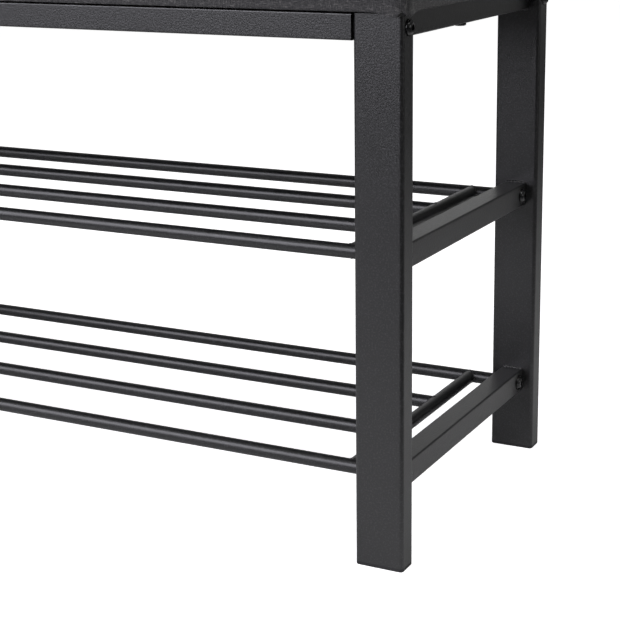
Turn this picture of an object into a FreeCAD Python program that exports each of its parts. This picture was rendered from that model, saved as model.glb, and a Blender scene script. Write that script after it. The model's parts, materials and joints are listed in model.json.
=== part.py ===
import FreeCAD, Part
import os

# Entryway shoe bench: a steel frame that bolts together, two shelves of round rods and a padded seat.
# Millimetres. The origin is on the floor under the middle of the bench, +X runs along its length,
# +Z is up and the front faces -Y.

V = FreeCAD.Vector
X_AXIS = V(1, 0, 0)
Y_AXIS = V(0, 1, 0)
Z_AXIS = V(0, 0, 1)
SIDES = {"left": -1, "right": 1}
ENDS = {"front": -1, "rear": 1}

# Frame
LENGTH = 800.0  # over the outer faces of the legs
DEPTH = 316.0  # over the front and rear faces of the legs
FRAME_TOP = 428.0  # top of the top bars, where the seat rests
SEAT_GAP = 1.0  # between the seat and the tops of the legs and rails
LEG_WIDTH = 40.0
LEG_DEPTH = 20.0
LEG_WALL = 1.5
LEG_CORNER = 3.0  # outer corner radius of the leg tubes
BAR = 20.0  # square tube of the side bars and the rails
BAR_WALL = 1.2
BAR_CORNER = 1.5  # outer corner radius of the bars and rails
TOP_PLATE = 1.5  # steel plate welded into the top of each leg
RAIL_GAP = 1.3  # between a rail's end and the leg, bridged by the boss of the rail's insert

# Shelves
SHELF_HEIGHTS = {"upper": 242.0, "lower": 67.0}  # rod axes and side bars
ROD = 11.5  # outer diameter of every rod
ROD_WALL = 1.0
OUTER_ROD_Y = 126.6  # distance of the front and rear rods from the middle
INNER_ROD_Y = OUTER_ROD_Y / 3
CROSS_ROD_INSET = 57.0  # from the outer face of the legs to the cross rod's axis
WELD_GAP = 0.1  # left for the weld where one rod butts on another

# Plastic feet
FOOT_HEIGHT = 3.0
FOOT_EDGE = 1.0
FOOT_PLUG = 14.0
FOOT_PLUG_WALL = 2.0

# M6 bolts with low domed heads, their thin washers and threaded inserts
BOLT_R = 3.0
BOLT_HOLE_R = 3.3
HEAD_R = 5.6
HEAD_HEIGHT = 2.4
HEAD_CROWN_R = 2.6
HEAD_BULGE = V(0.55, 0, 0.4)  # of the dome's middle, from the straight line between its base and crown
SOCKET = 4.0  # across the flats
SOCKET_DEPTH = 1.6
WASHER_R = 6.4
WASHER = 0.9
THREAD_LENGTH = 13.4  # of bolt inside its insert
INSERT_LENGTH = 16.0
INSERT_BOSS_R = 6.5
INSERT_CORNER = 0.8
THREAD_PLAY = 0.02

# Seat
SEAT_OVERHANG = 2.5  # past the legs on every side
SEAT_TOP = 480.0
SEAT_CORNER = 14.0
SEAT_EDGE = 12.0  # rounding of the upper edge
FABRIC = 1.0
FABRIC_RETURN = 40.0  # width of the fabric folded under the board
BOARD = 12.0
DUST_COVER = 0.8
DUST_COVER_GAP = 3.0  # to the inside of the frame

# M5 pan-head screws that hold the seat
SCREW_R = 2.5
SCREW_HOLE_R = 2.8
SCREW_LENGTH = 30.0
PAN_R = 5.1
PAN_HEIGHT = 3.2
PAN_EDGE = 1.6
PAN_SLOT = 1.2
PAN_SLOT_LENGTH = 5.6
PAN_SLOT_DEPTH = 1.6
NUT_FLANGE_R = 7.5
NUT_FLANGE = 1.2
NUT_BARREL_R = 3.6
NUT_BARREL = 9.0

# Worked out from the above
LEG_X = (LENGTH - LEG_WIDTH) / 2
LEG_Y = (DEPTH - LEG_DEPTH) / 2
LEG_INNER_X = LENGTH / 2 - LEG_WIDTH
LEG_INNER_Y = DEPTH / 2 - LEG_DEPTH
BAR_INNER_X = LEG_X - BAR / 2
BAR_OUTER_X = LEG_X + BAR / 2
LEG_TOP = FRAME_TOP - SEAT_GAP
TOP_BAR_Z = FRAME_TOP - BAR / 2
RAIL_Z = LEG_TOP - BAR / 2
CROSS_ROD_X = LENGTH / 2 - CROSS_ROD_INSET
ROD_R = ROD / 2
BOARD_Z = FRAME_TOP + FABRIC
FOAM_Z = BOARD_Z + BOARD
SEAT_LENGTH = LENGTH + 2 * SEAT_OVERHANG
SEAT_DEPTH = DEPTH + 2 * SEAT_OVERHANG


def block(width, depth, height, corner, z=0.0):
    """An upright block centred on the Z axis, with rounded vertical edges, from z upwards."""
    shape = Part.makeBox(width, depth, height, V(-width / 2, -depth / 2, z))
    upright = [e for e in shape.Edges if abs(e.tangentAt(e.FirstParameter).z) > 0.9]
    return shape.makeFillet(corner, upright)


def round_edges(shape, z, radius):
    """Rounds the edges that lie at height z."""
    level = [e for e in shape.Edges if abs(e.BoundBox.ZMin - z) < 1e-6 and e.BoundBox.ZLength < 1e-6]
    return shape.makeFillet(radius, level)


def box_tube(width, depth, length, wall, corner, z=0.0):
    """An upright rectangular tube, open at both ends."""
    inner = block(width - 2 * wall, depth - 2 * wall, length, corner - wall / 2, z)
    return block(width, depth, length, corner, z).cut(inner)


def laid_along_x(shape):
    return shape.rotated(V(0, 0, 0), Y_AXIS, 90)


def laid_along_y(shape):
    return shape.rotated(V(0, 0, 0), X_AXIS, 90)


def hole_along_x(radius, x, y, z, length):
    """A cylinder along X, centred on x."""
    return Part.makeCylinder(radius, length, V(x - length / 2, y, z), X_AXIS)


def head_out(shape, side, x, y, z):
    """Turns a fastener whose head is at +Z so that its head faces out along X on that side."""
    return shape.rotated(V(0, 0, 0), Y_AXIS, 90 * side).translated(V(side * x, y, z))


def make_leg(side, end):
    tube = box_tube(LEG_WIDTH, LEG_DEPTH, LEG_TOP - FOOT_HEIGHT, LEG_WALL, LEG_CORNER, FOOT_HEIGHT)
    tube = tube.cut(hole_along_x(BOLT_HOLE_R, 0, 0, RAIL_Z, LEG_WIDTH + 2))
    return tube.translated(V(side * LEG_X, end * LEG_Y, 0))


def make_top_plates():
    width = LEG_WIDTH - 2 * LEG_WALL
    depth = LEG_DEPTH - 2 * LEG_WALL
    plate = block(width, depth, TOP_PLATE, LEG_CORNER - LEG_WALL / 2, LEG_TOP - TOP_PLATE)
    return at_each_leg(plate)


def make_foot(side, end):
    flange = round_edges(block(LEG_WIDTH, LEG_DEPTH, FOOT_HEIGHT, LEG_CORNER), 0.0, FOOT_EDGE)
    width = LEG_WIDTH - 2 * LEG_WALL
    depth = LEG_DEPTH - 2 * LEG_WALL
    plug = block(width, depth, FOOT_PLUG, LEG_CORNER - LEG_WALL / 2, FOOT_HEIGHT)
    hollow = Part.makeBox(width - 2 * FOOT_PLUG_WALL, depth - 2 * FOOT_PLUG_WALL, FOOT_PLUG)
    hollow.translate(V(FOOT_PLUG_WALL - width / 2, FOOT_PLUG_WALL - depth / 2, FOOT_HEIGHT))
    return flange.fuse(plug.cut(hollow)).removeSplitter().translated(V(side * LEG_X, end * LEG_Y, 0))


def at_each_leg(shape):
    places = [V(side * LEG_X, end * LEG_Y, 0) for side in SIDES.values() for end in ENDS.values()]
    return Part.makeCompound([shape.translated(place) for place in places])


def side_bar(side, z):
    """A square tube from the front leg to the rear leg of one end frame."""
    tube = box_tube(BAR, BAR, 2 * LEG_INNER_Y, BAR_WALL, BAR_CORNER, -LEG_INNER_Y)
    return laid_along_y(tube).translated(V(side * LEG_X, 0, z))


def make_shelf_bar(side, z):
    bar = side_bar(side, z)
    for end in ENDS.values():
        bar = bar.cut(hole_along_x(BOLT_HOLE_R, side * LEG_X, end * OUTER_ROD_Y, z, BAR + 2))
    return bar


def make_top_bar(side):
    hole = Part.makeCylinder(SCREW_HOLE_R, BAR + 2, V(side * LEG_X, 0, FRAME_TOP - BAR - 1))
    return side_bar(side, TOP_BAR_Z).cut(hole)


def make_rail(end):
    half = LEG_INNER_X - RAIL_GAP
    tube = box_tube(BAR, BAR, 2 * half, BAR_WALL, BAR_CORNER, -half)
    return laid_along_x(tube).translated(V(0, end * LEG_Y, RAIL_Z))


def rod_tube(length):
    """A round tube along X, centred on the origin."""
    outer = hole_along_x(ROD_R, 0, 0, 0, length)
    return outer.cut(hole_along_x(ROD_R - ROD_WALL, 0, 0, 0, length))


def make_outer_rod(end, z):
    return rod_tube(2 * BAR_INNER_X).translated(V(0, end * OUTER_ROD_Y, z))


def make_inner_rod(end, z):
    """A rod whose ends are shaped to sit on the two cross rods."""
    rod = rod_tube(2 * CROSS_ROD_X).translated(V(0, end * INNER_ROD_Y, z))
    for side in SIDES.values():
        start = V(side * CROSS_ROD_X, -OUTER_ROD_Y, z)
        rod = rod.cut(Part.makeCylinder(ROD_R + WELD_GAP, 2 * OUTER_ROD_Y, start, Y_AXIS))
    return rod


def make_cross_rod(side, z):
    """A rod whose ends are shaped to sit on the front and rear rods."""
    rod = rod_tube(2 * OUTER_ROD_Y).rotated(V(0, 0, 0), Z_AXIS, 90)
    rod = rod.translated(V(side * CROSS_ROD_X, 0, z))
    for end in ENDS.values():
        rod = rod.cut(hole_along_x(ROD_R + WELD_GAP, side * CROSS_ROD_X, end * OUTER_ROD_Y, z, 4 * ROD))
    return rod


def bolt(grip):
    """A bolt along Z. Its domed head sits on z = 0 and the shank goes down through the grip."""
    base = V(HEAD_R, 0, 0)
    crown = V(HEAD_CROWN_R, 0, HEAD_HEIGHT)
    middle = (base + crown) * 0.5 + HEAD_BULGE
    outline = [
        Part.LineSegment(V(0, 0, 0), base).toShape(),
        Part.Arc(base, middle, crown).toShape(),
        Part.LineSegment(crown, V(0, 0, HEAD_HEIGHT)).toShape(),
        Part.LineSegment(V(0, 0, HEAD_HEIGHT), V(0, 0, 0)).toShape(),
    ]
    head = Part.Face(Part.Wire(outline)).revolve(V(0, 0, 0), Z_AXIS, 360)
    corners = [V(SOCKET / 3 ** 0.5, 0, HEAD_HEIGHT - SOCKET_DEPTH)]
    turn = FreeCAD.Rotation(Z_AXIS, 60)
    for _ in range(6):
        corners.append(turn.multVec(corners[-1]))
    socket = Part.Face(Part.makePolygon(corners)).extrude(V(0, 0, SOCKET_DEPTH))
    length = WASHER + grip + THREAD_LENGTH
    shank = Part.makeCylinder(BOLT_R, length, V(0, 0, -length))
    return head.cut(socket).fuse(shank).removeSplitter()


def washer():
    """A flat washer under the head of a bolt."""
    ring = Part.makeCylinder(WASHER_R, WASHER, V(0, 0, -WASHER))
    return ring.cut(Part.makeCylinder(BOLT_HOLE_R, WASHER, V(0, 0, -WASHER)))


def at_shelf_bolts(shape, x):
    """The shape at both ends of every front and rear shelf rod, its own +Z facing out."""
    return Part.makeCompound([
        head_out(shape, side, x, end * OUTER_ROD_Y, z)
        for z in SHELF_HEIGHTS.values() for side in SIDES.values() for end in ENDS.values()
    ])


def at_rail_bolts(shape, x):
    """The shape at both ends of the front and rear rails, its own +Z facing out."""
    return Part.makeCompound([
        head_out(shape, side, x, end * LEG_Y, RAIL_Z)
        for side in SIDES.values() for end in ENDS.values()
    ])


def threaded(insert):
    bore = Part.makeCylinder(BOLT_R + THREAD_PLAY, INSERT_LENGTH, V(0, 0, -INSERT_LENGTH))
    return insert.cut(bore)


def make_rod_inserts():
    """Threaded plugs welded into the ends of the front and rear shelf rods."""
    plug = Part.makeCylinder(ROD_R - ROD_WALL, INSERT_LENGTH, V(0, 0, -INSERT_LENGTH))
    return at_shelf_bolts(threaded(plug), BAR_INNER_X)


def make_rail_inserts():
    """Threaded blocks welded into the ends of the rails, each with a round boss that meets the leg."""
    width = BAR - 2 * BAR_WALL
    plug = block(width, width, INSERT_LENGTH - RAIL_GAP, BAR_CORNER - BAR_WALL / 2, -INSERT_LENGTH)
    boss = Part.makeCylinder(INSERT_BOSS_R, RAIL_GAP, V(0, 0, -RAIL_GAP))
    return at_rail_bolts(threaded(plug.fuse(boss)), LEG_INNER_X)


def seat_block(inset, z, top, edge):
    """The seat's outline drawn in by inset, from z to top, with its upper edge rounded."""
    width = SEAT_LENGTH - 2 * inset
    depth = SEAT_DEPTH - 2 * inset
    shape = block(width, depth, top - z, SEAT_CORNER - inset, z)
    return round_edges(shape, top, edge) if edge else shape


def at_seat_screws(shape, z):
    return Part.makeCompound([shape.translated(V(side * LEG_X, 0, z)) for side in SIDES.values()])


def make_board():
    board = seat_block(FABRIC, BOARD_Z, FOAM_Z, 0)
    barrel = Part.makeCylinder(NUT_BARREL_R, BOARD)
    recess = Part.makeCylinder(NUT_FLANGE_R, NUT_FLANGE, V(0, 0, BOARD - NUT_FLANGE))
    return board.cut(at_seat_screws(barrel, BOARD_Z)).cut(at_seat_screws(recess, BOARD_Z))


def make_foam():
    return seat_block(FABRIC, FOAM_Z, SEAT_TOP - FABRIC, SEAT_EDGE - FABRIC)


def make_cover():
    """The fabric: over the foam, down the sides and folded in under the board."""
    cover = seat_block(0, FRAME_TOP, SEAT_TOP, SEAT_EDGE)
    cover = cover.cut(seat_block(FABRIC, BOARD_Z, SEAT_TOP - FABRIC, SEAT_EDGE - FABRIC))
    width = SEAT_LENGTH - 2 * FABRIC_RETURN
    depth = SEAT_DEPTH - 2 * FABRIC_RETURN
    opening = Part.makeBox(width, depth, FABRIC, V(-width / 2, -depth / 2, FRAME_TOP))
    return cover.cut(opening).cut(at_seat_screws(Part.makeCylinder(SCREW_HOLE_R, FABRIC), FRAME_TOP))


def make_dust_cover():
    """A thin sheet under the board, inside the frame, that hides the edge of the fabric."""
    width = 2 * (BAR_INNER_X - DUST_COVER_GAP)
    depth = 2 * (LEG_INNER_Y - DUST_COVER_GAP)
    return Part.makeBox(width, depth, DUST_COVER, V(-width / 2, -depth / 2, FRAME_TOP - DUST_COVER))


def make_seat_screws():
    """Pan-head screws that go up through the top bars into the board."""
    head = round_edges(Part.makeCylinder(PAN_R, PAN_HEIGHT, V(0, 0, -PAN_HEIGHT)), -PAN_HEIGHT, PAN_EDGE)
    screw = head.fuse(Part.makeCylinder(SCREW_R, SCREW_LENGTH)).removeSplitter()
    slot = Part.makeBox(PAN_SLOT_LENGTH, PAN_SLOT, PAN_SLOT_DEPTH)
    slot.translate(V(-PAN_SLOT_LENGTH / 2, -PAN_SLOT / 2, -PAN_HEIGHT))
    screw = screw.cut(slot.fuse(slot.rotated(V(0, 0, 0), Z_AXIS, 90)))
    return at_seat_screws(screw, FRAME_TOP - BAR)


def make_seat_nuts():
    """Tee nuts let into the top of the board."""
    nut = Part.makeCylinder(NUT_FLANGE_R, NUT_FLANGE, V(0, 0, -NUT_FLANGE))
    nut = nut.fuse(Part.makeCylinder(NUT_BARREL_R, NUT_BARREL, V(0, 0, -NUT_FLANGE - NUT_BARREL)))
    nut = nut.removeSplitter()
    bore = Part.makeCylinder(SCREW_R + THREAD_PLAY, BOARD, V(0, 0, -BOARD))
    return at_seat_screws(nut.cut(bore), FOAM_Z)


def make_parts():
    parts = {}
    for side_name, side in SIDES.items():
        for end_name, end in ENDS.items():
            parts[f"leg_{end_name}_{side_name}"] = make_leg(side, end)
            parts[f"foot_{end_name}_{side_name}"] = make_foot(side, end)
        parts[f"top_bar_{side_name}"] = make_top_bar(side)
    for end_name, end in ENDS.items():
        parts[f"rail_{end_name}"] = make_rail(end)
    for shelf, z in SHELF_HEIGHTS.items():
        for side_name, side in SIDES.items():
            parts[f"{shelf}_shelf_bar_{side_name}"] = make_shelf_bar(side, z)
            parts[f"{shelf}_shelf_cross_rod_{side_name}"] = make_cross_rod(side, z)
        for end_name, end in ENDS.items():
            parts[f"{shelf}_shelf_rod_{end_name}"] = make_outer_rod(end, z)
            parts[f"{shelf}_shelf_rod_mid_{end_name}"] = make_inner_rod(end, z)
    parts["leg_top_plates"] = make_top_plates()
    parts["shelf_rod_inserts"] = make_rod_inserts()
    parts["shelf_bolts"] = at_shelf_bolts(bolt(BAR), BAR_OUTER_X + WASHER)
    parts["shelf_washers"] = at_shelf_bolts(washer(), BAR_OUTER_X + WASHER)
    parts["rail_inserts"] = make_rail_inserts()
    parts["rail_bolts"] = at_rail_bolts(bolt(LEG_WIDTH), LENGTH / 2 + WASHER)
    parts["rail_washers"] = at_rail_bolts(washer(), LENGTH / 2 + WASHER)
    parts["seat_board"] = make_board()
    parts["seat_foam"] = make_foam()
    parts["seat_cover"] = make_cover()
    parts["seat_dust_cover"] = make_dust_cover()
    parts["seat_screws"] = make_seat_screws()
    parts["seat_tee_nuts"] = make_seat_nuts()
    return parts


os.makedirs("parts", exist_ok=True)
for name, shape in make_parts().items():
    shape.exportStep(f"parts/{name}.step")
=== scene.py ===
import math
import random

import bmesh
import bpy
from mathutils import Matrix, Vector, noise
from mathutils.kdtree import KDTree
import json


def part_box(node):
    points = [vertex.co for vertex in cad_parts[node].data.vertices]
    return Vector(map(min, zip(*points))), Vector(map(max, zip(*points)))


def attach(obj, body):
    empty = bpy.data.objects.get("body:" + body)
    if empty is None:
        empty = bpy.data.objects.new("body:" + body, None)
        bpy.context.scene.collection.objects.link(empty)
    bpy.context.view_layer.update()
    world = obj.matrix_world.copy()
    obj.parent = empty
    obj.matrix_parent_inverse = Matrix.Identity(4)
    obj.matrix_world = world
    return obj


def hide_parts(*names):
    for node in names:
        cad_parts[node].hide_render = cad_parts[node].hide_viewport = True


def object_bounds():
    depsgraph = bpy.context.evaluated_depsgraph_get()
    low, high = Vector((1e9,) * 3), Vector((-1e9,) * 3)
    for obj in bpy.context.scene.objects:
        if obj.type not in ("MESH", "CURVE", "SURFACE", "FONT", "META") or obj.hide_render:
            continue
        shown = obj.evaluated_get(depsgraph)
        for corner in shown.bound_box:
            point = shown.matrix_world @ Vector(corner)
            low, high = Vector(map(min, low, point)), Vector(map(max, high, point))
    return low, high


# Entryway shoe bench. Metres, +Z up, the front faces -Y. The steel frame, feet and fasteners are the
# CAD nodes with their finishes. The seat, its lining, the staples and the weld beads are made here.

MM = 0.001
SIDES = (-1, 1)

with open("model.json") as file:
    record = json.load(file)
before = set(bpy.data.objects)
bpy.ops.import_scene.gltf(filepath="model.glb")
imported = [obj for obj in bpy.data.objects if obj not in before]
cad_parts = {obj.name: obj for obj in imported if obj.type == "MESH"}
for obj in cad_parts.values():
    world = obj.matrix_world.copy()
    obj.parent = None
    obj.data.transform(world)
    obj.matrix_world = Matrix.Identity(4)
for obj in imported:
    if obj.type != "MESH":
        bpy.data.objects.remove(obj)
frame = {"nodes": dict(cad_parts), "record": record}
cad_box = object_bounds()
nodes = frame["nodes"]


# ---------------------------------------------------------------- camera, floor and light

CAMERA_PLACE = Vector((0.85095, -1.17807, 0.52269))
CAMERA_YAW = math.radians(27.335)  # to the left of +Y
CAMERA_PITCH = math.radians(12.399)  # below the horizon
CAMERA_ROLL = math.radians(-0.659)
CAMERA_LENS = 90.735
CAMERA_SHIFT = -0.1435


def make_camera():
    ahead = Vector((-math.sin(CAMERA_YAW), math.cos(CAMERA_YAW), 0))
    right = Vector((math.cos(CAMERA_YAW), math.sin(CAMERA_YAW), 0))
    up = Vector((0, 0, 1))
    ahead, up = (
        ahead * math.cos(CAMERA_PITCH) - up * math.sin(CAMERA_PITCH),
        up * math.cos(CAMERA_PITCH) + ahead * math.sin(CAMERA_PITCH),
    )
    right, up = (
        right * math.cos(CAMERA_ROLL) + up * math.sin(CAMERA_ROLL),
        up * math.cos(CAMERA_ROLL) - right * math.sin(CAMERA_ROLL),
    )
    data = bpy.data.cameras.new("camera")
    data.sensor_width = 36
    data.lens = CAMERA_LENS
    data.shift_y = CAMERA_SHIFT
    data.clip_end = 100
    camera = bpy.data.objects.new("camera", data)
    turned = Matrix((right, up, -ahead)).transposed().to_4x4()
    camera.matrix_world = Matrix.Translation(CAMERA_PLACE) @ turned
    bpy.context.scene.collection.objects.link(camera)
    bpy.context.scene.camera = camera


# ---------------------------------------------------------------- shader helpers

class Shader:
    """A new material with a Principled shader, and short calls that add nodes to it."""

    def __init__(self, name, base=(0.5, 0.5, 0.5), **values):
        self.material = bpy.data.materials.new(name)
        self.material.use_nodes = True
        self.tree = self.material.node_tree
        self.principled = self.tree.nodes["Principled BSDF"]
        self.principled.inputs["Base Color"].default_value = (*base, 1)
        for socket, value in values.items():
            self.principled.inputs[socket.replace("_", " ")].default_value = value
        self.place = self.add("ShaderNodeTexCoord").outputs["Object"]

    def add(self, kind, **values):
        node = self.tree.nodes.new(kind)
        for name, value in values.items():
            setattr(node, name, value)
        return node

    def feed(self, socket, value):
        if isinstance(value, bpy.types.NodeSocket):
            self.tree.links.new(value, socket)
        else:
            socket.default_value = value

    def sum(self, operation, *values):
        node = self.add("ShaderNodeMath", operation=operation)
        for socket, value in zip(node.inputs, values):
            self.feed(socket, value)
        return node.outputs[0]

    def split(self, vector):
        node = self.add("ShaderNodeSeparateXYZ")
        self.feed(node.inputs[0], vector)
        return node.outputs

    def join(self, x, y, z=0.0):
        node = self.add("ShaderNodeCombineXYZ")
        for socket, value in zip(node.inputs, (x, y, z)):
            self.feed(socket, value)
        return node.outputs[0]

    def stretched(self, vector, scale):
        node = self.add("ShaderNodeMapping")
        self.feed(node.inputs["Vector"], vector)
        node.inputs["Scale"].default_value = scale
        return node.outputs[0]

    def noise(self, vector, scale, detail=2.0, roughness=0.5):
        node = self.add("ShaderNodeTexNoise")
        self.feed(node.inputs["Vector"], vector)
        node.inputs["Scale"].default_value = scale
        node.inputs["Detail"].default_value = detail
        node.inputs["Roughness"].default_value = roughness
        return node.outputs[0]

    def ramp(self, value, low, high, to_low=0.0, to_high=1.0):
        node = self.add("ShaderNodeMapRange")
        for socket, number in zip(node.inputs, (value, low, high, to_low, to_high)):
            self.feed(socket, number)
        return node.outputs[0]

    def mix(self, factor, first, second):
        node = self.add("ShaderNodeMix", data_type="RGBA")
        self.feed(node.inputs["Factor"], factor)
        for name, value in (("A", first), ("B", second)):
            socket = [s for s in node.inputs if s.name == name and s.type == "RGBA"][0]
            self.feed(socket, (*value, 1) if isinstance(value, tuple) else value)
        return [s for s in node.outputs if s.type == "RGBA"][0]

    def bump(self, height, strength, distance, under=None):
        node = self.add("ShaderNodeBump")
        node.inputs["Strength"].default_value = strength
        node.inputs["Distance"].default_value = distance
        self.feed(node.inputs["Height"], height)
        if under is not None:
            self.feed(node.inputs["Normal"], under)
        return node.outputs[0]

    def finish(self, color=None, roughness=None, normal=None):
        for name, value in (("Base Color", color), ("Roughness", roughness), ("Normal", normal)):
            if value is not None:
                self.feed(self.principled.inputs[name], value)
        return self.material


# ---------------------------------------------------------------- finishes

COAT_GRAIN = 740  # fineness of the noise, in cells per metre
COAT_PEEL = 210
COAT_CLOUD = 14


def powder_coat(name="powder_coat", grain_height=0.18 * MM, gloss=0.8):
    """Charcoal powder coat: satin, with a fine grain and a faint orange peel."""
    s = Shader(name, Specular_IOR_Level=gloss)
    grain = s.noise(s.place, COAT_GRAIN, 1)
    peel = s.noise(s.place, COAT_PEEL)
    cloud = s.noise(s.place, COAT_CLOUD, 3)
    color = s.mix(s.ramp(cloud, 0.3, 0.7), (0.0060, 0.0060, 0.0064), (0.0085, 0.0085, 0.0090))
    color = s.mix(s.ramp(grain, 0.50, 0.74, 0.0, 0.8), color, (0.034, 0.034, 0.036))
    roughness = s.ramp(grain, 0.3, 0.7, 0.32, 0.40)
    normal = s.bump(grain, 0.8, grain_height, s.bump(peel, 0.3, grain_height * 0.6))
    return s.finish(color, roughness, normal)


def fine_coat():
    """The same coat on the thin rods, where it lies smoother and shines less."""
    return powder_coat("fine_coat", grain_height=0.06 * MM, gloss=0.6)


def moulded_plastic():
    """Matte black plastic of the feet."""
    s = Shader("moulded_plastic")
    grain = s.noise(s.place, 2600, 2)
    color = s.mix(s.ramp(s.noise(s.place, 90), 0.35, 0.7), (0.012, 0.012, 0.013), (0.020, 0.020, 0.021))
    roughness = s.ramp(grain, 0.3, 0.7, 0.48, 0.60)
    return s.finish(color, roughness, s.bump(grain, 0.3, 0.05 * MM))


def black_steel():
    """Black-coated bolts, washers and screws."""
    s = Shader("black_steel", Specular_IOR_Level=0.7)
    grain = s.noise(s.place, 1800, 3)
    color = s.mix(s.ramp(grain, 0.4, 0.7), (0.0035, 0.0035, 0.004), (0.008, 0.008, 0.009))
    roughness = s.ramp(s.noise(s.place, 500), 0.3, 0.7, 0.10, 0.18)
    return s.finish(color, roughness, s.bump(grain, 0.2, 0.03 * MM))


def zinc_steel():
    """Zinc-plated inserts and tee nuts."""
    s = Shader("zinc_steel", Metallic=1.0)
    blotch = s.noise(s.place, 300, 3)
    color = s.mix(s.ramp(blotch, 0.35, 0.65), (0.50, 0.51, 0.54), (0.62, 0.62, 0.63))
    return s.finish(color, s.ramp(blotch, 0.3, 0.7, 0.28, 0.42))


def fibreboard():
    """Raw board under the foam."""
    s = Shader("fibreboard", Roughness=0.85)
    fibres = s.noise(s.stretched(s.place, (260, 900, 900)), 1, 4)
    color = s.mix(s.ramp(fibres, 0.3, 0.7), (0.27, 0.17, 0.09), (0.42, 0.29, 0.17))
    return s.finish(color, normal=s.bump(fibres, 0.3, 0.1 * MM))


THREAD = 0.9 * MM  # from one thread of the seat fabric to the next
THREAD_WANDER = 3 * MM  # how far the threads stray from straight lines
THREAD_RELIEF = 0.16 * MM
YARN_DARK = (0.020, 0.020, 0.022)
YARN_MID = (0.066, 0.064, 0.065)
YARN_LIGHT = (0.190, 0.183, 0.180)
SHADE_ALONG, SHADE_ACROSS = 300, 1350  # fineness of a yarn's shades, in cells per metre
SLUB_ALONG, SLUB_ACROSS = 150, 1000  # and of its slubs, the thick light lengths
SEAT_CLOTH_TOP = cad_box[1].z


def linen():
    """Dark grey melange weave. Threads run along the seat and across it, and on down its sides."""
    s = Shader("linen", Roughness=0.85, Sheen_Weight=0.2, Sheen_Roughness=0.5, Specular_IOR_Level=0.3)
    x, y, z = s.split(s.place)
    facing = s.split(s.add("ShaderNodeNewGeometry").outputs["Normal"])
    end_face = s.sum("GREATER_THAN", s.sum("ABSOLUTE", facing[0]), s.sum("ABSOLUTE", facing[1]))
    long_face = s.sum("SUBTRACT", 1.0, end_face)
    drop = s.sum("SUBTRACT", SEAT_CLOTH_TOP, z)
    down_ends = s.sum("MULTIPLY", s.sum("MULTIPLY", drop, s.sum("SIGN", x)), end_face)
    down_front = s.sum("MULTIPLY", s.sum("MULTIPLY", drop, s.sum("SIGN", y)), long_face)
    u = s.sum("ADD", x, down_ends)
    v = s.sum("ADD", y, down_front)
    wander = s.noise(s.place, 40, 2)
    u = s.sum("MULTIPLY_ADD", wander, THREAD_WANDER, u)
    v = s.sum("MULTIPLY_ADD", wander, -THREAD_WANDER, v)
    cloth = s.join(u, v)
    wave_u = s.sum("SINE", s.sum("MULTIPLY", u, math.pi / THREAD))
    wave_v = s.sum("SINE", s.sum("MULTIPLY", v, math.pi / THREAD))
    along_top = s.ramp(s.sum("MULTIPLY", wave_u, wave_v), -0.5, 0.5)
    yarns = []
    for shade_way, slub_way in (
        ((SHADE_ALONG, SHADE_ACROSS, 1), (SLUB_ALONG, SLUB_ACROSS, 1)),
        ((SHADE_ACROSS, SHADE_ALONG, 1), (SLUB_ACROSS, SLUB_ALONG, 1)),
    ):
        shade = s.noise(s.stretched(cloth, shade_way), 1, 2, 0.6)
        slub = s.noise(s.stretched(cloth, slub_way), 1, 1)
        color = s.mix(s.ramp(shade, 0.40, 0.60), YARN_DARK, YARN_MID)
        yarns.append((s.mix(s.ramp(slub, 0.58, 0.74), color, YARN_LIGHT), slub))
    color = s.mix(s.ramp(along_top, 0, 1, 0.25, 0.85), yarns[1][0], yarns[0][0])
    height_along = s.sum("MULTIPLY", s.sum("ABSOLUTE", wave_v), along_top)
    height_across = s.sum("MULTIPLY", s.sum("ABSOLUTE", wave_u), s.sum("SUBTRACT", 1.0, along_top))
    height = s.sum("MULTIPLY", s.sum("ADD", height_along, height_across), 0.6)
    for _, slub in yarns:
        height = s.sum("MULTIPLY_ADD", slub, 0.9, height)
    return s.finish(color, normal=s.bump(height, 0.6, THREAD_RELIEF))


BOND_DOTS = 2600.0  # of the lining's dot pattern, in radians per metre


def lining_cloth():
    """Black non-woven lining with a fine bonded dot pattern."""
    s = Shader("lining_cloth", Roughness=0.85, Sheen_Weight=0.15)
    x, y, _ = s.split(s.place)
    wave_x = s.sum("SINE", s.sum("MULTIPLY", x, BOND_DOTS))
    wave_y = s.sum("SINE", s.sum("MULTIPLY", y, BOND_DOTS))
    dots = s.sum("MULTIPLY", wave_x, wave_y)
    fibres = s.noise(s.place, 900, 4)
    color = s.mix(s.ramp(fibres, 0.3, 0.7), (0.010, 0.010, 0.011), (0.030, 0.030, 0.031))
    height = s.sum("MULTIPLY_ADD", dots, 0.5, fibres)
    return s.finish(color, normal=s.bump(height, 0.5, 0.1 * MM))


# ---------------------------------------------------------------- seat

SEAT_LOW, SEAT_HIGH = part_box("seat_cover")
BOARD_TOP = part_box("seat_board")[1].z
CORNER = 9 * MM  # of the seat in plan
UPPER_EDGE = 12 * MM  # rounding of the seat's upper edge
CELL = 6 * MM  # size of the cushion's faces before they are subdivided

PAD_UPPER_EDGE = 10 * MM  # the same edges on the form that the simulation presses
PAD_LOWER_EDGE = 2 * MM
PAD_VOXEL = 6 * MM
PRESSURE = 4
PRESS_FRAMES = 20
NEIGHBOURS = 8  # points of the form that move each point of the cushion

SWELL = 8 * MM  # how far the foam may push the fabric out
CROWN = 5 * MM  # how much the pressed foam adds in the middle of the seat
FIRM = 3 * MM  # height above the board where the foam starts to swell
FIRM_RISE = 14 * MM  # and over which it comes to swell fully
DRAW_IN = 0.3  # share of the skin's inward move that the foam's firm sides allow
UNEVEN = 0.6 * MM  # how uneven the foam is
UNEVEN_SCALE = 22
UNEVEN_RISE = 8 * MM  # height above the board over which it comes to be so

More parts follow.
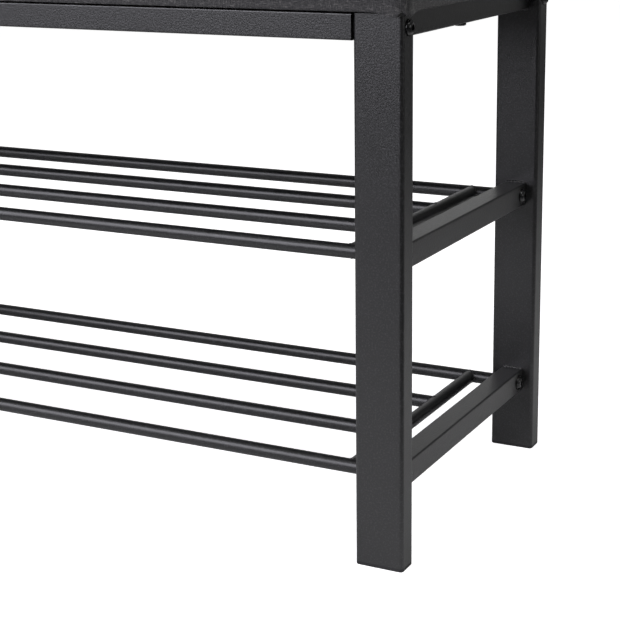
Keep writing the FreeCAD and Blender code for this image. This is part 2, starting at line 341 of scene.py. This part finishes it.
FABRIC_GAP = 0.3 * MM  # under the fabric, over the frame
HEM = 0.7 * MM  # rounding of the fabric's lower edge
HEM_FOLD = 0.35 * MM  # width of the strip that is turned under
HEM_CUTS = (2 * MM, 3.5 * MM, 5 * MM)  # heights of extra cuts, so that the hem keeps its shape
HEM_BULGE = 0.6 * MM  # how far the turned-under edge stands out
HEM_BULGE_HEIGHT = 1.2 * MM
HEM_BULGE_RISE = 4.5 * MM
CORNER_BULGE = 0.9 * MM  # how much more it stands out at each corner, where the fabric is bunched
EDGE_HANG = 0.3 * MM  # how far the fabric's edge hangs outside the frame
DIP = 4.0 * MM  # and how much more at each corner
DIP_REACH = 27 * MM
DIP_RISE = 20 * MM

PLEAT = 13 * MM  # from the front or rear face to the fold on the end face
PLEAT_STEP = 0.7 * MM
PLEAT_WIDTH = 0.7 * MM
PLEAT_FADE = 14 * MM  # under the seat's top, where the fold ends
PUCKERS = 14  # how far the wave of the corner's tension folds runs in a radian round the corner
PUCKER_HEIGHT = 0.45 * MM
PUCKER_START = 12 * MM  # from the corner
PUCKER_REACH = 75 * MM


def rounded_block(low, high, corner, top_edge, bottom_edge):
    """A closed block with rounded upright, upper and lower edges."""
    bm = bmesh.new()
    bmesh.ops.create_cube(bm, size=1)
    for vertex in bm.verts:
        for axis in range(3):
            vertex.co[axis] = high[axis] if vertex.co[axis] > 0 else low[axis]
    upright = [e for e in bm.edges if abs(e.verts[0].co.z - e.verts[1].co.z) > MM]
    bmesh.ops.bevel(bm, geom=upright, offset=corner, segments=8, affect="EDGES", profile=0.5)
    for z, radius, segments in ((high[2], top_edge, 6), (low[2], bottom_edge, 2)):
        rim = [e for e in bm.edges if all(abs(v.co.z - z) < 1e-6 for v in e.verts)]
        bmesh.ops.bevel(bm, geom=rim, offset=radius, segments=segments, affect="EDGES", profile=0.5)
    return bm


def cut_across(bm, axis, at):
    """Cuts every face with the plane that crosses the axis there."""
    normal = Vector([i == axis for i in range(3)])
    everything = bm.verts[:] + bm.edges[:] + bm.faces[:]
    bmesh.ops.bisect_plane(bm, geom=everything, plane_co=normal * at, plane_no=normal)


def cut_into_cells(bm, low, high):
    for axis in range(3):
        count = max(2, round((high[axis] - low[axis]) / CELL))
        for i in range(1, count):
            cut_across(bm, axis, low[axis] + (high[axis] - low[axis]) * i / count)


def new_object(name, bm, material, smooth=True):
    mesh = bpy.data.meshes.new(name)
    bm.to_mesh(mesh)
    bm.free()
    for polygon in mesh.polygons:
        polygon.use_smooth = smooth
    mesh.materials.append(material)
    made = bpy.data.objects.new(name, mesh)
    bpy.context.scene.collection.objects.link(made)
    return made


def apply_modifiers(made):
    """Replaces the object's mesh by its evaluated one."""
    graph = bpy.context.evaluated_depsgraph_get()
    mesh = bpy.data.meshes.new_from_object(made.evaluated_get(graph))
    made.modifiers.clear()
    made.data = mesh


def smooth_step(value):
    value = min(1, max(0, value))
    return value * value * (3 - 2 * value)


def press_pad(low, high):
    """How the foam's skin moves under pressure: a cloth simulation, its lower part held by the board.

    Gives a tree of the skin's points and how far each one moved."""
    form = rounded_block(low, high, CORNER, PAD_UPPER_EDGE, PAD_LOWER_EDGE)
    pad = new_object("pad_form", form, bpy.data.materials["linen"])
    remesh = pad.modifiers.new("remesh", "REMESH")
    remesh.mode = "VOXEL"
    remesh.voxel_size = PAD_VOXEL
    apply_modifiers(pad)
    start = [v.co.copy() for v in pad.data.vertices]
    held = pad.vertex_groups.new(name="held")
    held.add([i for i, p in enumerate(start) if p.z < BOARD_TOP], 1.0, "REPLACE")
    cloth = pad.modifiers.new("cloth", "CLOTH")
    settings = cloth.settings
    settings.quality = 5
    settings.mass = 0.3
    settings.tension_stiffness = 40
    settings.compression_stiffness = 20
    settings.bending_stiffness = 2
    settings.use_pressure = True
    settings.uniform_pressure_force = PRESSURE
    settings.effector_weights.gravity = 0
    settings.vertex_group_mass = "held"
    cloth.point_cache.frame_start = 1
    cloth.point_cache.frame_end = PRESS_FRAMES
    for number in range(1, PRESS_FRAMES + 1):
        bpy.context.scene.frame_set(number)
    apply_modifiers(pad)
    tree = KDTree(len(start))
    moves = []
    for index, (vertex, before) in enumerate(zip(pad.data.vertices, start)):
        tree.insert(before, index)
        move = vertex.co - before
        moves.append(move.normalized() * SWELL * math.tanh(move.length / SWELL))
    tree.balance()
    bpy.data.objects.remove(pad)
    bpy.context.scene.frame_set(1)
    return tree, moves


def skin_move(tree, moves, point):
    """How far the pad's skin moved around a point."""
    found = tree.find_n(point, NEIGHBOURS)
    near = [(moves[index], 1 / (distance + MM)) for _, index, distance in found]
    total = sum(weight for _, weight in near)
    return sum((move * (weight / total) for move, weight in near), Vector())


def from_corner(point):
    """How far round the seat's sides a point is from the nearest corner."""
    return max(SEAT_HIGH.x - abs(point.x), SEAT_HIGH.y - abs(point.y))


def corner_share(point):
    """1 at a corner of the seat, falling to 0 at DIP_REACH from it."""
    return 0.5 + 0.5 * math.cos(math.pi * min(1, from_corner(point) / DIP_REACH))


def on_skin(vertex):
    """Whether a point is on the seat's sides or is tagged as the rim of its underside."""
    inset = min(SEAT_HIGH.x - abs(vertex.co.x), SEAT_HIGH.y - abs(vertex.co.y))
    return vertex.tag or inset < HEM * 1.2


def roll_hem(bm, low):
    """The fabric's edge is turned under the board, and stands out a little all round."""
    for vertex in filter(on_skin, bm.verts):
        away = abs(vertex.co.z - low.z - HEM_BULGE_HEIGHT)
        outward = Vector((vertex.normal.x, vertex.normal.y, 0))
        bulge = HEM_BULGE + CORNER_BULGE * corner_share(vertex.co)
        vertex.co += outward * bulge * (1 - smooth_step(away / HEM_BULGE_RISE))


def hang_edge(bm):
    """The fabric's edge hangs over the frame, and lower where it wraps each corner outside the leg."""
    for vertex in filter(on_skin, bm.verts):
        height = (vertex.co.z - SEAT_LOW.z) / DIP_RISE
        hang = EDGE_HANG + DIP * corner_share(vertex.co)
        vertex.co.z -= hang * (1 - smooth_step(height))


def fold_pleats(bm):
    """On the end faces the fabric is folded over itself beside each corner."""
    for vertex in bm.verts:
        point = vertex.co
        reach = SEAT_HIGH.y - abs(point.y)
        on_end = smooth_step((abs(vertex.normal.x) - 0.35) / 0.4)  # 1 where it faces along the bench
        if on_end > 0 and reach < PLEAT + PLEAT_WIDTH / 2:
            fade = smooth_step((SEAT_HIGH.z - point.z) / PLEAT_FADE)
            point.x += math.copysign(PLEAT_STEP * on_end * fade, point.x)


def pucker(bm):
    """Small tension folds that run in from the four corners."""
    for vertex in bm.verts:
        point = vertex.co
        if point.z < BOARD_TOP:
            continue
        corner_x = math.copysign(SEAT_HIGH.x, point.x)
        corner_y = math.copysign(SEAT_HIGH.y, point.y)
        corner = Vector((corner_x, corner_y, point.z))
        away = (point - corner).length
        if away < PUCKER_REACH:
            angle = math.atan2(abs(corner.y - point.y), abs(corner.x - point.x))
            fold = math.sin(angle * PUCKERS + point.x * 9)
            fold *= smooth_step(away / PUCKER_START) * (1 - smooth_step(away / PUCKER_REACH))
            vertex.co += vertex.normal * fold * PUCKER_HEIGHT


def cut_seat(low, high):
    """The seat's block, cut where its folds and hem will be, with the rim of its underside tagged."""
    bm = rounded_block(low, high, CORNER, UPPER_EDGE, HEM)
    for side in SIDES:
        for edge in (PLEAT - PLEAT_WIDTH / 2, PLEAT + PLEAT_WIDTH / 2):
            cut_across(bm, 1, side * (SEAT_HIGH.y - edge))
    for height in HEM_CUTS:
        cut_across(bm, 2, low.z + height)
    cut_into_cells(bm, low, high)
    underside = {f for f in bm.faces if all(v.co.z < low.z + 1e-6 for v in f.verts)}
    edges = [e for e in bm.edges if sum(f in underside for f in e.link_faces) == 1]
    rim = {v for e in edges for v in e.verts}
    bmesh.ops.inset_region(
        bm, faces=[f for f in bm.faces if f in underside], thickness=HEM_FOLD,
        use_even_offset=True, use_boundary=True,
    )
    for vertex in bm.verts:
        vertex.tag = vertex in rim
    return bm


def swell(bm, tree, moves):
    """Moves the skin above the board as the pressed pad moved."""
    for vertex in bm.verts:
        share = smooth_step((vertex.co.z - BOARD_TOP - FIRM) / FIRM_RISE)
        if share > 0:
            move = skin_move(tree, moves, vertex.co)
            for axis in (0, 1):
                if move[axis] * vertex.co[axis] < 0:
                    move[axis] *= DRAW_IN
            vertex.co += move * share
    bm.normal_update()


def make_uneven(bm):
    """Foam above the board is never quite flat."""
    for vertex in bm.verts:
        loose = smooth_step((vertex.co.z - BOARD_TOP) / UNEVEN_RISE)
        vertex.co += vertex.normal * noise.noise(vertex.co * UNEVEN_SCALE) * UNEVEN * loose


def make_cushion():
    """The seat: crisp where fabric is pulled over the board, swollen above it."""
    low = SEAT_LOW + Vector((0, 0, FABRIC_GAP))
    high = SEAT_HIGH - Vector((0, 0, CROWN))
    tree, moves = press_pad(low, high)
    bm = cut_seat(low, high)
    swell(bm, tree, moves)
    fold_pleats(bm)
    pucker(bm)
    make_uneven(bm)
    roll_hem(bm, low)
    hang_edge(bm)
    cushion = new_object("seat_cushion", bm, bpy.data.materials["linen"])
    smooth = cushion.modifiers.new("smooth", "SUBSURF")
    smooth.levels = 1
    smooth.render_levels = 1
    apply_modifiers(cushion)
    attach(cushion, "root")
    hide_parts("seat_cover", "seat_foam")


# ---------------------------------------------------------------- lining and staples

LINING_LOW, LINING_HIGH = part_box("seat_dust_cover")
LINING_THICK = 0.4 * MM
LINING_CELLS = (122, 46)
LINING_SAG = 1.5 * MM
LINING_SLACK = 70 * MM  # from the staples to where it sags fully
LINING_WRINKLE = 0.7 * MM
STAPLE_WIDTH = 10.5 * MM
STAPLE_WIRE = 0.6 * MM
STAPLE_LEG = 6 * MM
STAPLE_INSET = 6 * MM  # from the lining's edge
STAPLE_STEP = 48 * MM
STAPLE_SLIDE = 3 * MM  # how far a staple may be off its place along the edge
STAPLE_DRIFT = 1 * MM  # and across it
STAPLE_TURN = 9  # and how far it may be turned, in degrees


def make_lining():
    """The lining, stapled flat round its edge under the board: a slight sag and a few wrinkles."""
    size = LINING_HIGH - LINING_LOW
    bm = bmesh.new()
    bmesh.ops.create_grid(bm, x_segments=LINING_CELLS[0], y_segments=LINING_CELLS[1], size=0.5)
    for vertex in bm.verts:
        x, y = vertex.co.x * size.x, vertex.co.y * size.y
        edge = min(size.x / 2 - abs(x), size.y / 2 - abs(y))
        slack = smooth_step((edge - STAPLE_INSET) / LINING_SLACK)
        wrinkle = noise.noise(Vector((x * 10, y * 30, 3)))
        wrinkle += 0.5 * noise.noise(Vector((x * 45, y * 16, 8)))
        hang = slack * (LINING_SAG + LINING_WRINKLE * wrinkle)
        vertex.co = (x, y, LINING_HIGH.z - LINING_THICK - hang)
    lining = new_object("seat_lining", bm, bpy.data.materials["lining_cloth"])
    thick = lining.modifiers.new("thick", "SOLIDIFY")
    thick.thickness = LINING_THICK
    thick.offset = -1 if lining.data.polygons[0].normal.z < 0 else 1
    apply_modifiers(lining)
    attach(lining, "root")
    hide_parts("seat_dust_cover")


def add_staple(bm, place, turn):
    """A wire staple pressed up into the board."""
    half, wire = STAPLE_WIDTH / 2, STAPLE_WIRE
    outline = [
        (-half, STAPLE_LEG), (-half, -wire), (half, -wire), (half, STAPLE_LEG),
        (half - wire, STAPLE_LEG), (half - wire, 0), (wire - half, 0), (wire - half, STAPLE_LEG),
    ]
    rings = [[bm.verts.new((x, side * wire, z)) for x, z in outline] for side in SIDES]
    count = len(outline)
    for first, second, third, fourth in ((0, 1, 6, 7), (1, 2, 5, 6), (2, 3, 4, 5)):
        bm.faces.new([rings[0][i] for i in (first, second, third, fourth)])
        bm.faces.new([rings[1][i] for i in (fourth, third, second, first)])
    for i in range(count):
        bm.faces.new([rings[1][i], rings[1][(i + 1) % count], rings[0][(i + 1) % count], rings[0][i]])
    made = rings[0] + rings[1]
    move = Matrix.Translation(place) @ Matrix.Rotation(turn, 4, "Z")
    bmesh.ops.transform(bm, matrix=move, verts=made)


def make_staples():
    """Staples round the lining's edge, a little uneven."""
    chance = random.Random(7)
    bm = bmesh.new()
    inset = Vector((STAPLE_INSET, STAPLE_INSET, 0))
    low, high = LINING_LOW + inset, LINING_HIGH - inset
    for axis, turn in ((0, 0.0), (1, math.pi / 2)):
        length = high[axis] - low[axis] - 2 * STAPLE_WIDTH
        count = round(length / STAPLE_STEP)
        for edge in (low, high):
            for i in range(count + 1):
                place = Vector((edge.x, edge.y, LINING_HIGH.z - LINING_THICK))
                slide = chance.uniform(-STAPLE_SLIDE, STAPLE_SLIDE)
                place[axis] = low[axis] + STAPLE_WIDTH + length * i / count + slide
                place[1 - axis] += chance.uniform(-STAPLE_DRIFT, STAPLE_DRIFT)
                add_staple(bm, place, turn + math.radians(chance.uniform(-STAPLE_TURN, STAPLE_TURN)))
    bmesh.ops.recalc_face_normals(bm, faces=bm.faces[:])
    staples = new_object("staples", bm, bpy.data.materials["zinc_steel"], smooth=False)
    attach(staples, "root")


# ---------------------------------------------------------------- welds

BAR_BEAD = 1.6 * MM
BAR_BEAD_INSET = 0.5 * MM  # from the bar's sides
BAR_BEAD_STEPS = 48
ROD_BEAD = 0.6 * MM
ROD_BEAD_STEPS = 36
BEAD_SIDES = 8
RIPPLE = 2.9 * MM  # from one ripple of a bead to the next
RIPPLE_HEIGHT = 0.10  # as a share of the bead's radius
LUMPS = 0.45  # the same for its uneven lumps
LUMP_SCALE = 190


def add_bead(bm, points, radius, closed=False):
    """A rippled weld bead along the points, tapered at its ends unless it is closed."""
    count = len(points)
    corners = [2 * math.pi * k / BEAD_SIDES for k in range(BEAD_SIDES)]
    rings = []
    run = 0.0
    aside = None
    for i, point in enumerate(points):
        before = points[i - 1] if i or closed else point
        after = points[(i + 1) % count] if closed or i < count - 1 else point
        along = (after - before).normalized()
        aside = along.orthogonal() if aside is None else aside - along * aside.dot(along)
        aside.normalize()
        other = along.cross(aside)
        run += (point - before).length if i else 0
        lump = 1 + RIPPLE_HEIGHT * math.sin(run * 2 * math.pi / RIPPLE)
        lump += LUMPS * noise.noise(point * LUMP_SCALE)
        if not closed:
            lump *= math.sqrt(max(0.08, 1 - (2 * i / (count - 1) - 1) ** 6))
        ring = [point + (aside * math.cos(a) + other * math.sin(a)) * radius * lump for a in corners]
        rings.append([bm.verts.new(place) for place in ring])
    for i in range(count if closed else count - 1):
        first, second = rings[i], rings[(i + 1) % count]
        for k in range(BEAD_SIDES):
            beside = (k + 1) % BEAD_SIDES
            bm.faces.new([first[k], first[beside], second[beside], second[k]])
    if not closed:
        bm.faces.new(rings[0])
        bm.faces.new(rings[-1])


def finish_welds(name, bm):
    bmesh.ops.recalc_face_normals(bm, faces=bm.faces[:])
    welds = new_object(name, bm, bpy.data.materials["powder_coat"])
    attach(welds, "root")


def make_bar_welds():
    """Beads where the side bars meet the legs: under every bar, and also over the shelf bars."""
    bm = bmesh.new()
    for bar in ("top_bar", "upper_shelf_bar", "lower_shelf_bar"):
        for side in ("left", "right"):
            low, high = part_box(f"{bar}_{side}")
            start = low.x + BAR_BEAD_INSET
            step = (high.x - low.x - 2 * BAR_BEAD_INSET) / BAR_BEAD_STEPS
            heights = (low.z,) if bar == "top_bar" else (low.z, high.z)
            for z in heights:
                for end in (low.y, high.y):
                    points = [Vector((start + step * i, end, z)) for i in range(BAR_BEAD_STEPS + 1)]
                    add_bead(bm, points, BAR_BEAD)
    finish_welds("bar_welds", bm)


def make_rod_welds():
    """Rings of bead where the middle rods meet the cross rods, and these the front and rear rods."""
    bm = bmesh.new()
    turns = [2 * math.pi * i / ROD_BEAD_STEPS for i in range(ROD_BEAD_STEPS)]
    for level in ("upper", "lower"):
        low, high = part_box(f"{level}_shelf_rod_front")
        radius = (high.z - low.z) / 2
        z = (low.z + high.z) / 2
        outer_y = -(low.y + high.y) / 2
        round_rod = [(radius * math.cos(a), radius * math.sin(a)) for a in turns]
        for side_name, side in zip(("left", "right"), SIDES):
            low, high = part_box(f"{level}_shelf_cross_rod_{side_name}")
            cross_x = (low.x + high.x) / 2
            for end in SIDES:
                ring = [
                    Vector((cross_x + out, end * (outer_y - abs(out)), z + up))
                    for out, up in round_rod
                ]
                add_bead(bm, ring, ROD_BEAD, closed=True)
            for rod in ("mid_front", "mid_rear"):
                low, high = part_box(f"{level}_shelf_rod_{rod}")
                y = (low.y + high.y) / 2
                ring = [Vector((cross_x - side * abs(out), y + out, z + up)) for out, up in round_rod]
                add_bead(bm, ring, ROD_BEAD, closed=True)
    finish_welds("rod_welds", bm)


# ---------------------------------------------------------------- stage

FLOOR_GLOW = 0.85  # what the camera sees of the floor besides its lit colour
PALE = (0.85, 0.85, 0.85)
STUDIO_FLOOR = (0.18, 0.18, 0.18)
PAPER_MIDDLE = (0.30, 0.05, 0)
PAPER_FADE = (0.7, 2.1)  # how far from its middle the paper starts to fade, and where it ends
PAPER_SIDE = (0.87, -0.49, 0)  # towards the paper's near side
PAPER_SIDE_FADE = (0.46, 0.80)
HORIZON_LIGHT = 0.07
DOME_LIGHT = 0.22
DOME_RISE = (0.2, 0.8)  # where the world's light starts and ends its rise, as the Z of the direction
COOL = (0.93, 0.92, 1.0)


def make_floor():
    """A wide pale floor. What the bench reflects of it is a sheet of paper in a darker studio."""
    bm = bmesh.new()
    bmesh.ops.create_grid(bm, x_segments=1, y_segments=1, size=20)
    s = Shader("floor", Roughness=1.0, Specular_IOR_Level=0.0, Emission_Color=(1, 1, 1, 1))
    seen = s.add("ShaderNodeLightPath").outputs["Is Camera Ray"]
    s.feed(s.principled.inputs["Emission Strength"], s.sum("MULTIPLY", seen, FLOOR_GLOW))
    away = s.add("ShaderNodeVectorMath", operation="DISTANCE")
    s.feed(away.inputs[0], s.place)
    away.inputs[1].default_value = PAPER_MIDDLE
    beside = s.add("ShaderNodeVectorMath", operation="DOT_PRODUCT")
    s.feed(beside.inputs[0], s.place)
    beside.inputs[1].default_value = PAPER_SIDE
    near_middle = s.ramp(away.outputs["Value"], *PAPER_FADE, 1.0, 0.0)
    not_beside = s.ramp(beside.outputs["Value"], *PAPER_SIDE_FADE, 1.0, 0.0)
    paper = s.sum("MULTIPLY", near_middle, not_beside)
    color = s.mix(s.sum("MAXIMUM", seen, paper), STUDIO_FLOOR, PALE)
    new_object("floor", bm, s.finish(color))


def softbox(
    name, azimuth, elevation, distance, width, height, radiance,
    color=(1, 1, 1), target=(0, 0, 0.25), spread=180,
):
    """A rectangular light that faces its target. Angles are in degrees.

    Azimuth 0 is in front of the bench, and positive to its right."""
    azimuth, elevation = math.radians(azimuth), math.radians(elevation)
    out = Vector((math.sin(azimuth), -math.cos(azimuth), 0)) * math.cos(elevation)
    out.z = math.sin(elevation)
    data = bpy.data.lights.new(name, "AREA")
    data.shape = "RECTANGLE"
    data.size = width
    data.size_y = height
    data.spread = math.radians(spread)
    half = data.spread / 2
    focus = math.tan(half) / (math.tan(half) - half)
    data.energy = radiance / focus * math.pi * width * height
    data.color = color
    lamp = bpy.data.objects.new(name, data)
    turned = out.to_track_quat("Z", "Y").to_matrix().to_4x4()
    lamp.matrix_world = Matrix.Translation(Vector(target) + out * distance) @ turned
    bpy.context.scene.collection.objects.link(lamp)


def make_light():
    world = bpy.data.worlds.new("world")
    world.use_nodes = True
    tree = world.node_tree
    place = tree.nodes.new("ShaderNodeTexCoord")
    axes = tree.nodes.new("ShaderNodeSeparateXYZ")
    dome = tree.nodes.new("ShaderNodeMapRange")
    tree.links.new(place.outputs["Generated"], axes.inputs[0])
    tree.links.new(axes.outputs["Z"], dome.inputs["Value"])
    sockets = ("From Min", "From Max", "To Min", "To Max")
    for socket, value in zip(sockets, (*DOME_RISE, HORIZON_LIGHT, DOME_LIGHT)):
        dome.inputs[socket].default_value = value
    path = tree.nodes.new("ShaderNodeLightPath")
    seen = tree.nodes.new("ShaderNodeMath")
    seen.operation = "ADD"
    tree.links.new(path.outputs["Is Camera Ray"], seen.inputs[0])
    tree.links.new(dome.outputs["Result"], seen.inputs[1])
    tree.links.new(seen.outputs[0], tree.nodes["Background"].inputs["Strength"])
    tree.nodes["Background"].inputs["Color"].default_value = (1, 1, 1, 1)
    bpy.context.scene.world = world
    # name, azimuth, elevation, distance, width, height, radiance
    softbox("key", -32, 32, 3.0, 2.2, 1.1, 7.2, COOL, spread=90)
    softbox("front_fill", -30, 13, 3.0, 2.4, 0.9, 5.2, COOL, spread=80)
    softbox("overhead", 40, 78, 2.2, 1.6, 1.6, 3.2, target=(0.25, 0, 0), spread=110)
    softbox("back_left", -153, 13, 3.2, 3.0, 0.7, 0.85)
    softbox("back_right", 150, 5, 3.2, 2.4, 0.7, 0.24)
    softbox("right", 90, 12, 3.0, 1.8, 0.9, 1.0)
    bpy.context.scene.view_settings.view_transform = "Standard"


# ---------------------------------------------------------------- assembly

FINISHES = {
    "frame_coat": powder_coat,
    "thin_rods": fine_coat,
    "foot_plastic": moulded_plastic,
    "fastener_black": black_steel,
    "insert_steel": zinc_steel,
    "seat_board": fibreboard,
    "seat_fabric": linen,
    "seat_lining": lining_cloth,
}


def dress_cad_nodes():
    """Gives every CAD node the finish of its material slot."""
    made = {slot: finish() for slot, finish in FINISHES.items()}
    made["seat_foam"] = made["seat_fabric"]
    for part in frame["record"]["subparts"]:
        mesh = nodes[part["node"]].data
        slot = part["material_slot"]
        if slot == "frame_coat" and "_rod" in part["node"]:
            slot = "thin_rods"
        mesh.materials.clear()
        mesh.materials.append(made[slot])


make_camera()
make_floor()
make_light()
dress_cad_nodes()
make_cushion()
make_lining()
make_staples()
make_bar_welds()
make_rod_welds()
